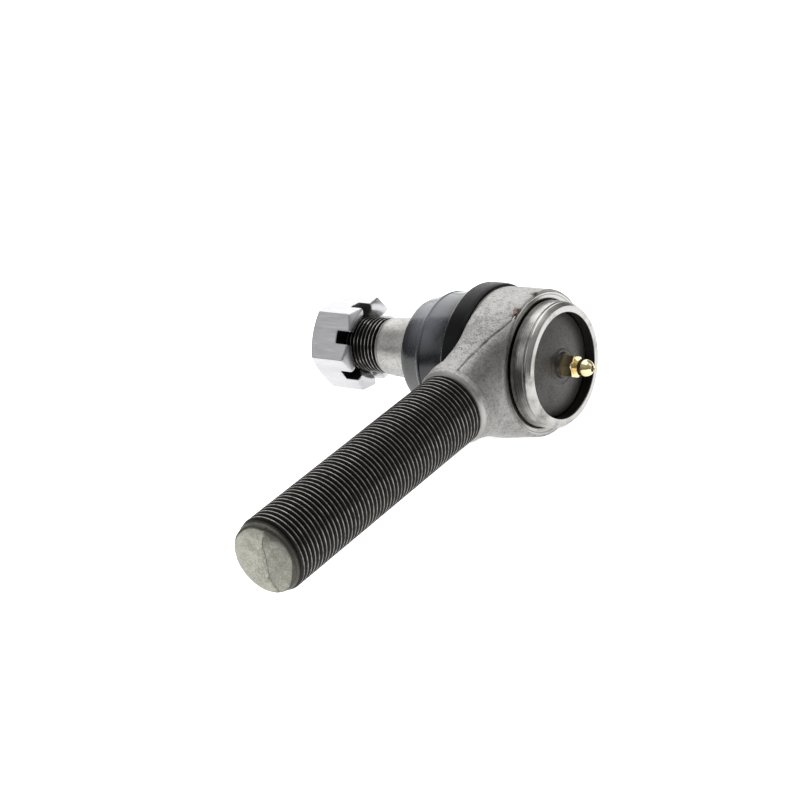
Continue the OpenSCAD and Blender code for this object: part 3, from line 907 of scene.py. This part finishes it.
def bar_end(sides=144, rings=40):
    """The shank's end: a lead-in cone blacked with oil, then the sheared face with its crooked break
    line.
    """
    start = THREAD_START + shank_turns * SHANK_PITCH - 0.3
    rows = [(10.5, start), (SHANK_R - 0.75, start)]
    rows += [(SHANK_R - 0.8, start + 0.5), (SHANK_R - 1.05, start + 1.2)]
    cone_rows = len(rows)
    edge = SHANK_R - 1.2
    rows += [(edge * (1 - k / rings), SHANK_END) for k in range(rings)]
    rng = np.random.default_rng(7)
    waves = [(rng.uniform(0.4, 1.7), rng.uniform(0, 6.28), rng.uniform(0, 6.28)) for _ in range(9)]
    verts, faces, marks = [], [], []
    for j, (r, along) in enumerate(rows):
        for k in range(sides):
            t = 2 * math.pi * k / sides
            drop, mark = broken_face(r, t, edge, waves) if j >= cone_rows else (0.0, -2.0)
            marks.append(mark)
            verts.append((r * math.cos(t), drop - along, r * math.sin(t)))
    for j in range(len(rows) - 1):
        for k in range(sides):
            n = (k + 1) % sides
            a, b = j * sides, (j + 1) * sides
            faces.append((a + k, a + n, b + n, b + k))
    # the middle of the face, and the flat that closes the far end
    last = (len(rows) - 1) * sides
    verts.append((0.0, -SHANK_END + 0.5, 0.0))
    marks.append(1.0)
    faces += [(last + k, last + (k + 1) % sides, len(verts) - 1) for k in range(sides)]
    faces.append(tuple(range(sides)))
    made = make_object("shank_end", verts, faces, 30.0)
    mark_points(made, face=marks)
    return made


belong(bar_end(), SHEARED, "forged_steel", "housing", "socket_housing")

# ---------------------------------------------------------------- cover, gasket and grease fitting

cover_edge = RECESS_R - 0.05
dome = arc(DOME_R, 18.98, 23.2, 26, DOME_CENTRE)
cover_out = [(r, x + COVER_LIP * (r / cover_edge) ** 4) for r, x in dome if r < cover_edge]
cover_in = [(r, x) for r, x in arc(DOME_R - COVER_T, 16.2, 20.8, 20, DOME_CENTRE) if r < cover_edge]
dome_ring = [
    (7.4, 23.38, 0.1),
    (7.1, 23.22, 0.1),
    (6.5, 23.24, 0.1),
    (6.1, 23.62, 0.15),
    (5.3, 23.72, 0.15),
]
cover_profile = [
    (cover_edge, COVER_SEAT_X + 0.5, 0.0),
    (cover_edge, 20.1, 0.1),
    *plain(cover_out),
    *dome_ring,
    (5.1, 23.75, 0.1),
    (4.8, HEX_X - 0.32, 0.15),
    (3.2, HEX_X - 0.32, 0.0),
    (3.2, 21.0, 0.0),
    *plain(reversed(cover_in)),
]
cover = lathe("cover_plate_domed", soften(cover_profile, 3), sides=180, closed=True)
belong(cover, COVER, "dark_plate", "housing", "cover_plate")

hex_piece = polygonise("fitting_hex", fitting_hex, (24.6, -5.2, -5.2), (31.0, 5.2, 5.2), 0.1)
belong(hex_piece, BRASS, "brass", "housing", "grease_fitting")

hex_end = HEX_X + HEX_LEN
nipple_profile = [
    (CHECK_R + 0.1, 19.2, 0.0),
    (3.17, 19.2, 0.2),
    (3.17, HEX_X + 0.1, 0.0),
    (NIPPLE_R - 0.9, HEX_X + 0.1, 0.0),
    (NIPPLE_R - 0.9, hex_end + 1.0, 0.3),
    (NIPPLE_R, hex_end + 1.9, 0.3),
    (NIPPLE_R, hex_end + 4.3, 0.9),
    (NIPPLE_R - 0.75, TIP_X - 1.1, 0.6),
    (NIPPLE_R - 1.7, TIP_X - 0.25, 0.3),
    (NIPPLE_R - 1.9, TIP_X, 0.1),
    (1.35, TIP_X, 0.1),
    (1.1, TIP_X - 0.3, 0.0),
    (1.1, CHECK_X + 0.77, 0.0),
    (CHECK_R + 0.1, CHECK_X + 0.2, 0.0),
]
nipple = lathe("fitting_nipple", soften(nipple_profile, 4), sides=96, closed=True, smooth_angle=40.0)
belong(nipple, BRASS, "brass", "housing", "grease_fitting")

# ---------------------------------------------------------------- dust boot

boot_outside = [
    (BOSS_R + 0.12, -4.0, 0.0),
    (28.9, -4.1, 0.3),
    (29.4, -5.6, 0.8),
    (29.4, -12.0, 0.5),
    (28.8, -13.0, 0.35),
    (26.7, -13.35, 0.3),
    (25.9, -14.6, 0.7),
    (25.6, -17.0, 1.0),
    (24.9, -21.0, 2.0),
    (24.35, -26.4, 0.2),
    (24.7, -26.9, 0.2),
    (24.55, -27.7, 0.3),
    (23.7, -28.6, 0.4),
    (21.9, -34.6, 1.2),
    (20.9, -37.8, 1.0),
    (19.0, -39.3, 0.6),
    (15.5, -40.0, 0.6),
    (13.3, -41.3, 0.3),
    (12.76, -41.3, 0.0),
]
boot_inside = [
    (12.76, -39.4, 0.0),
    (14.57, -39.4, 0.0),
    (14.57, -37.4, 0.0),
    (14.1, -37.2, 0.0),
    (14.1, -36.5, 0.0),
    (17.6, -36.0, 0.5),
    (19.7, -33.0, 0.8),
    (21.0, -26.5, 0.8),
    (22.1, -21.0, 0.8),
    (22.1, -14.4, 0.0),
    (22.02, -12.8, 0.0),
    (22.3, -12.78, 0.0),
    (25.4, -11.9, 0.8),
    (27.6, -9.6, 0.8),
    (BOSS_R + 0.12, -6.8, 0.0),
]
boot = lathe("dust_boot_rubber", soften(boot_outside + boot_inside, 4), sides=180, closed=True)
belong(boot, RUBBER, "boot_rubber", None, "dust_boot")
# painted shade: the skirt's faces get the near-black rubber
repaint(boot, PAINTED_SHADE_SKIRT, lambda x, y, z: x > -12.0)
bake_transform(boot)

# ---------------------------------------------------------------- stud and nut

stud_profile = [
    (0.0, 10.8, 0.0),
    (2.0, 10.8, 0.0),
    (3.5, 11.8, 0.1),
    *plain(arc(STUD_HEAD_R, 11.8, -0.35, 22)),
    (STUD_NECK_R, -0.35, 0.0),
    (STUD_NECK_R, -21.0, 1.5),
    (TAPER_BIG_R, -TAPER_START, 1.2),
    (TAPER_SMALL_R, -TAPER_END, 0.25),
    (STUD_R - 0.75, -TAPER_END - 0.25, 0.1),
    (STUD_R - 0.75, -TAPER_END - 0.6, 0.1),
    (STUD_R - 0.02, -TAPER_END - 1.0, 0.1),
    (STUD_R - 0.02, -TAPER_END - 1.3, 0.1),
    (STUD_R - 1.1, -TAPER_END - 1.75, 0.0),
    (0.0, -TAPER_END - 1.75, 0.0),
]
stud = lathe("stud_shaft", soften(stud_profile, 4), sides=128)
belong(stud, STUD_GREY, "stud_steel", "stud", "ball_stud")

stud_thread = grown(
    "stud_thread",
    THREAD,
    Matrix.Translation((-(TAPER_END + 1.5) * MM, 0, 0)) @ Matrix.Rotation(math.radians(-90), 4, "Y"),
    STUD_THREAD,
    Major_Radius=STUD_R,
    Depth=1.1,
    Pitch=STUD_PITCH,
    Length=STUD_TURNS * STUD_PITCH,
    Hand=1.0,
    Run_Out=0.01,
    Chamfer=1.6,
    Chamfer_Drop=1.5,
    Rows=ROWS_A_TURN * (STUD_TURNS + 1),
    Sides=THREAD_SIDES,
)
belong(stud_thread, STUD_THREAD, "stud_steel", "stud", "ball_stud")
stud_tip = -(TAPER_END + 1.5 + STUD_TURNS * STUD_PITCH - 0.7)
repaint(stud_thread, STUD_GREY, lambda x, y, z: x < stud_tip)

nut = polygonise("castle_nut_cut", castle, (-NUT_FAR - 1, -20, -20), (-NUT_NEAR + 1, 20, 20), 0.36)
belong(nut, PLATED, "plated_nut", "nut", "castle_nut")


def in_slot_or_bore(x, y, z):
    """Whether a point of the nut is in its bore or slots, on the near side, where shadow is painted."""
    inner = math.hypot(y, z) < STUD_R + 0.3 and x > -NUT_FAR + 0.6
    for step in range(3):
        turn = math.radians(NUT_TURN + 60 * step)
        across = abs(z * math.cos(turn) - y * math.sin(turn))
        inner = inner or (across < SLOT_W / 2 + 0.04 and x > -NUT_NEAR - SLOT_DEPTH - 0.04)
    return inner and y < 0.5


# painted shadow: the near slots and bore get a black finish
repaint(nut, PAINTED_SHADOW_SLOTS, in_slot_or_bore)

# ---------------------------------------------------------------- springs and inner parts

spring_profile = [
    (8.0, 14.25, 0.15),
    (8.0, 15.35, 0.15),
    (17.6, 16.25, 0.15),
    (17.6, 15.15, 0.15),
]
disc = lathe("disc_spring", soften(spring_profile, 3), sides=96, closed=True)
belong(disc, SPRING, "spring_steel", "housing", "pressure_spring")
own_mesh(disc)


def coil_tree():
    """A node tree that sweeps round wire along a helix and stands it along +Z."""
    tree = bpy.data.node_groups.new("wound coil", "GeometryNodeTree")
    face = tree.interface
    face.new_socket("Geometry", in_out="OUTPUT", socket_type="NodeSocketGeometry")
    for label, kind in (
        ("Turns", "NodeSocketFloat"),
        ("Coil Radius", "NodeSocketFloat"),
        ("Wire Radius", "NodeSocketFloat"),
        ("Height", "NodeSocketFloat"),
        ("Points", "NodeSocketInt"),
        ("Finish", "NodeSocketMaterial"),
    ):
        face.new_socket(label, in_out="INPUT", socket_type=kind)
    given = wire(tree, "NodeGroupInput").outputs
    helix = wire(
        tree,
        "GeometryNodeCurveSpiral",
        {
            "Resolution": given["Points"],
            "Rotations": given["Turns"],
            "Start Radius": given["Coil Radius"],
            "End Radius": given["Coil Radius"],
            "Height": given["Height"],
        },
    )
    ring = wire(
        tree, "GeometryNodeCurvePrimitiveCircle", {"Resolution": 10, "Radius": given["Wire Radius"]}
    )
    links = {"Curve": helix.outputs[0], "Profile Curve": ring.outputs[0], "Fill Caps": True}
    swept = wire(tree, "GeometryNodeCurveToMesh", links)
    real = wire(tree, "GeometryNodeRealizeInstances", {0: swept.outputs[0]})
    links = {"Geometry": real.outputs[0], "Material": given["Finish"]}
    done = wire(tree, "GeometryNodeSetMaterial", links)
    wire(tree, "NodeGroupOutput", {0: done.outputs[0]})
    return tree


coil = grown(
    "fitting_coil",
    coil_tree(),
    Matrix.Translation((27.4 * MM, 0, 0)) @ Matrix.Rotation(math.radians(90), 4, "Y"),
    SPRING,
    Turns=6.0,
    Coil_Radius=0.95,
    Wire_Radius=0.17,
    Height=7.1,
    Points=28,
)
belong(coil, SPRING, "spring_steel", "housing", "fitting_spring")
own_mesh(coil)

for node_name, finish in (
    ("upper_bearing", GROUND),
    ("half_ball", GROUND),
    ("fitting_ball", SPRING),
    ("lower_bearing", ACETAL),
    ("cover_gasket", GASKET),
    ("boot_base_ring", RING),
    ("boot_neck_ring", RING),
):
    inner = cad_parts[node_name]
    inner.data.materials.clear()
    inner.data.materials.append(finish)

# ---------------------------------------------------------------- floor, lights and camera

# Level with the boot's skirt, the lowest part, and wide enough to fill every view
FLOOR_Z = -29.4
FLOOR_HALF = 4000
floor_glow = {"Emission Color": linear("#ffffff"), "Emission Strength": 0.88}
floor_finish, _, _ = finish_of("white light-table acrylic", "#f2f2f2", 0.0, 0.9, **floor_glow)
turns = ((-1, -1), (1, -1), (1, 1), (-1, 1))
corners = [(a * FLOOR_HALF, b * FLOOR_HALF, FLOOR_Z) for a, b in turns]
floor = make_object("floor_plane", corners, [(0, 1, 2, 3)])
floor.data.materials.append(floor_finish)

scene = bpy.context.scene
world = bpy.data.worlds.new("studio")
world.use_nodes = True
sky = world.node_tree
sky.nodes.clear()
upward = wire(sky, "ShaderNodeTexCoord").outputs["Generated"]
upward = wire(sky, "ShaderNodeSeparateXYZ", {0: upward}).outputs["Z"]
glow = between(sky, upward, 0.0, 0.9, 0.16, 0.42)
backdrop = wire(sky, "ShaderNodeBackground", {"Color": linear("#ffffff"), "Strength": glow})
wire(sky, "ShaderNodeOutputWorld", {"Surface": backdrop.outputs[0]})
scene.world = world
scene.view_settings.view_transform = "Standard"

AIM = Vector((-14.61, -51.96, 7.31)) * MM


def towards(azimuth, elevation):
    """The unit direction at an azimuth from -Y towards +X and an elevation, both in degrees."""
    a, e = math.radians(azimuth), math.radians(elevation)
    return Vector((math.sin(a) * math.cos(e), -math.cos(a) * math.cos(e), math.sin(e)))


def soft_light(name, azimuth, elevation, reach, size, power):
    """A square area light that looks at the object from that direction."""
    lamp = bpy.data.lights.new(name, "AREA")
    lamp.shape = "SQUARE"
    lamp.size = size
    lamp.energy = power
    holder = bpy.data.objects.new(name, lamp)
    away = towards(azimuth, elevation)
    holder.location = AIM + away * reach
    holder.rotation_mode = "QUATERNION"
    holder.rotation_quaternion = (-away).to_track_quat("-Z", "Y")
    scene.collection.objects.link(holder)


soft_light("top_panel", 180.0, 78.0, 0.9, 0.8, 3.4)
soft_light("back_panel", 222.0, 30.0, 1.0, 1.0, 5.4)
soft_light("left_panel", -50.0, 32.0, 1.0, 0.6, 0.7)
soft_light("right_panel", 125.0, 30.0, 1.1, 0.5, 0.8)

CAMERA_AZIMUTH, CAMERA_ELEVATION, CAMERA_ROLL = 41.8505, 24.7085, -13.1154
CAMERA_DISTANCE, CAMERA_LENS = 0.870, 104.67
lens = bpy.data.cameras.new("camera")
lens.lens = CAMERA_LENS
lens.sensor_width = 36.0
lens.clip_start, lens.clip_end = 0.05, 20.0
camera = bpy.data.objects.new("camera", lens)
scene.collection.objects.link(camera)
back = towards(CAMERA_AZIMUTH, CAMERA_ELEVATION)
camera.location = AIM + back * CAMERA_DISTANCE
camera.rotation_mode = "QUATERNION"
roll = Quaternion((0, 0, 1), math.radians(CAMERA_ROLL))
camera.rotation_quaternion = (-back).to_track_quat("-Z", "Y") @ roll
scene.camera = camera
